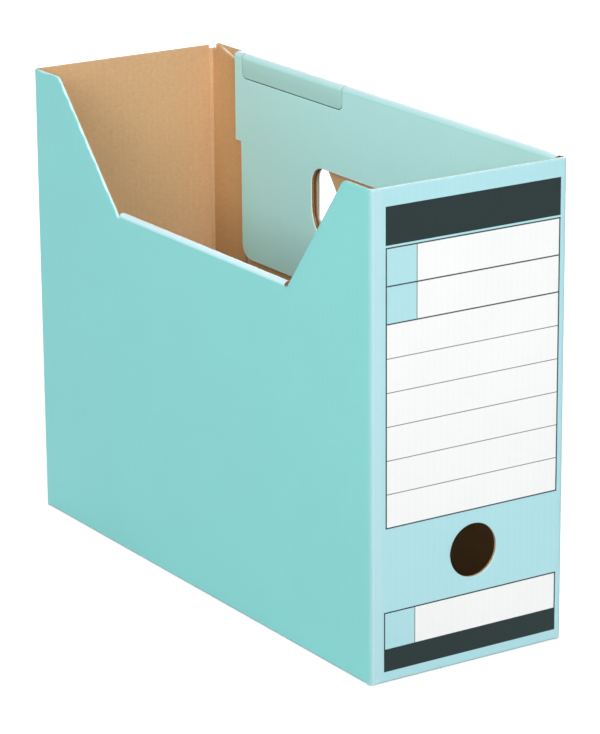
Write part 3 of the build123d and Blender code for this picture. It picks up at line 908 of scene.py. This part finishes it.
standing = dict(radius=3, uDir=xDir, vDir=yDir, sDir=zDir, run=(0, height), runSteps=6, bead=0.4, power=3,
                endRoll=boardStock["roll"])
lying = dict(radius=2.2, vDir=zDir, runSteps=6, power=4.5)
longBase = dict(lying, uDir=xDir, sDir=yDir, run=(-wallEnd, wallEnd))
shortBase = dict(lying, uDir=yDir, sDir=xDir)
turning = dict(uDir=xDir, vDir=zDir, sDir=yDir, tail=0.3, wobble=0.05)
lidTurning = dict(turning, ink=lidFoldHighlightInk, centre=(lidSide, lidAxis), radius=2.6, sweep=(0, 180))
creases = [
    dict(standing, name="frontLeftCrease", node="front_left_fold", ink=frontLeftInk,
         centre=(-panelEnd, -wallEnd), sweep=(180, 270)),
    dict(standing, name="frontRightCrease", node="front_right_fold", ink=frontRightInk,
         centre=(panelEnd, -wallEnd), sweep=(270, 360)),
    dict(standing, name="rearLeftCrease", node="rear_left_fold", ink=turquoise,
         centre=(-panelEnd, wallEnd), sweep=(90, 180)),
    dict(standing, name="rearRightCrease", node="rear_right_fold", ink=turquoise,
         centre=(rearEnd, wallEnd), sweep=(0, 90), run=(0, reliefLevel)),
    dict(longBase, name="leftBaseCrease", node="left_base_fold", ink=turquoise,
         centre=(-baseSide, baseLevel), sweep=(180, 270)),
    dict(longBase, name="rightBaseCrease", node="right_base_fold", ink=turquoise,
         centre=(baseSide, baseLevel), sweep=(270, 360)),
    dict(shortBase, name="frontBaseCrease", node="front_base_fold", ink=frontEdgeInk,
         centre=(-baseEnd, baseLevel), sweep=(180, 270), run=(-panelEnd, panelEnd)),
    dict(shortBase, name="rearBaseCrease", node="rear_base_fold", ink=turquoise,
         centre=(baseEnd, baseLevel), sweep=(270, 360), run=(-panelEnd, rearEnd)),
    dict(lidTurning, name="lidCreaseRear", node="lid_fold_rear", turns="lid",
         run=(lidCut["tabRear"], lidCut["rear"]), runSteps=8),
    dict(lidTurning, name="lidCreaseFront", node="lid_fold_front", turns="lid",
         run=(lidCut["front"], lidCut["tabFront"]), runSteps=160, dip=(0.7, 9)),
    dict(lidTurning, name="indexTabCrease", node="index_tab_fold", turns="index_tab",
         run=(indexTabCut["front"], indexTabCut["rear"]), runSteps=90),
    dict(turning, name="notchFlapCrease", node="notch_flap_fold", turns="notch_flap", ink=foldHighlightInk,
         centre=(-49, notch["foot"]), radius=2, sweep=(180, 0), run=notch["crease"], runSteps=140),
]
for crease in creases:
    foldStrip(crease)
print("creases:", len(creases))


# metres; the floor fades to white away from the box, the world has bright walls and a dim ceiling
stageSet = dict(floorSize=6.0, floorDrop=0.0004, floorTone=0.58, fade=(0.25, 1.2), glow=(0.62, 0.9),
                underBox=(0.05, 0.142, 1), skyBand=(0.15, 0.75), skyTone=(0.5, 0.12))
softboxes = [
    dict(name="keySoftbox", place=(-0.28, -2.03, 1.72), aim=(0, 0, 0.12), size=(0.9, 0.9), watts=39.5),
    dict(name="sideSoftbox", place=(-2.06, -1.05, 1.3), aim=(0, 0, 0.12), size=(1.6, 1.6), watts=41.5),
    dict(name="rearSoftbox", place=(1.7, 1.7, 1.4), aim=(0, 0, 0.1), size=(1.6, 1.2), watts=44),
]


def stageFloor():
    s, z = stageSet["floorSize"], -stageSet["floorDrop"]
    mesh = bpy.data.meshes.new("studioFloor")
    mesh.from_pydata([(-s, -s, z), (s, -s, z), (s, s, z), (-s, s, z)], [], [(0, 1, 2, 3)])
    floor = bpy.data.objects.new("studioFloor", mesh)
    scene.collection.objects.link(floor)
    made = bpy.data.materials.new("paleFloor")
    made.use_nodes = True
    tree = made.node_tree
    tree.nodes.clear()
    tone = stageSet["floorTone"]
    matt = put(tree, "ShaderNodeBsdfDiffuse", {"Color": (tone, tone, tone, 1)})
    rays = tree.nodes.new("ShaderNodeLightPath").outputs
    seen = math2(tree, "MAXIMUM", rays["Is Camera Ray"], rays["Is Glossy Ray"])
    seen = math2(tree, "MAXIMUM", seen, rays["Is Transmission Ray"])
    where = tree.nodes.new("ShaderNodeTexCoord").outputs["Object"]
    away = put(tree, "ShaderNodeVectorMath", {0: where}, operation="LENGTH").outputs["Value"]
    glow = span(tree, away, *stageSet["fade"], *stageSet["glow"])
    under = useGroup(tree, footprint, Vector=where, Centre=(0, 0, 0), Half=stageSet["underBox"])["Inside"]
    glow = math2(tree, "MULTIPLY", glow, math2(tree, "SUBTRACT", 1.0, under))
    shine = put(tree, "ShaderNodeEmission", {"Strength": math2(tree, "MULTIPLY", seen, glow)})
    both = put(tree, "ShaderNodeAddShader", {0: matt.outputs[0], 1: shine.outputs[0]})
    tree.links.new(both.outputs[0], tree.nodes.new("ShaderNodeOutputMaterial").inputs[0])
    mesh.materials.append(made)


def addSoftbox(name, place, aim, size, watts):
    lamp = bpy.data.lights.new(name, "AREA")
    lamp.shape, lamp.size, lamp.size_y, lamp.energy = "RECTANGLE", size[0], size[1], watts
    made = bpy.data.objects.new(name, lamp)
    scene.collection.objects.link(made)
    made.location = place
    made.rotation_euler = (Vector(aim) - Vector(place)).to_track_quat("-Z", "Y").to_euler()


stageFloor()
for lamp in softboxes:
    addSoftbox(**lamp)

world = bpy.data.worlds.new("studio")
scene.world = world
world.use_nodes = True
sky = world.node_tree
upward = axesOf(sky, sky.nodes.new("ShaderNodeTexCoord").outputs["Generated"])["Z"]
strength = span(sky, upward, *stageSet["skyBand"], *stageSet["skyTone"])
sky.links.new(strength, sky.nodes["Background"].inputs["Strength"])
sky.nodes["Background"].inputs["Color"].default_value = (1, 1, 1, 1)

# degrees, metres and pixels, the sensor in millimetres
cameraFit = dict(azimuth=-32.86, elevation=17.124, roll=-0.417, place=(-0.83686, -1.30575, 0.57626),
                 focalPixels=3511.5, imageHeight=734, sensor=36)
turn, tilt, lean = (math.radians(cameraFit[k]) for k in ("azimuth", "elevation", "roll"))
back = Vector((math.sin(turn) * math.cos(tilt), -math.cos(turn) * math.cos(tilt), math.sin(tilt)))
side = Vector((0, 0, 1)).cross(back).normalized()
up = back.cross(side)
side, up = side * math.cos(lean) + up * math.sin(lean), up * math.cos(lean) - side * math.sin(lean)
camera = bpy.data.objects.new("photoCamera", bpy.data.cameras.new("photoCamera"))
scene.collection.objects.link(camera)
camera.data.sensor_width = cameraFit["sensor"]
camera.data.lens = cameraFit["focalPixels"] / cameraFit["imageHeight"] * cameraFit["sensor"]
axes = Matrix((side, up, back)).transposed().to_4x4()
camera.matrix_world = Matrix.Translation(cameraFit["place"]) @ axes
scene.camera = camera
scene.view_settings.view_transform = "Standard"
print("stage:", len(softboxes), "softboxes, lens", round(camera.data.lens, 1))
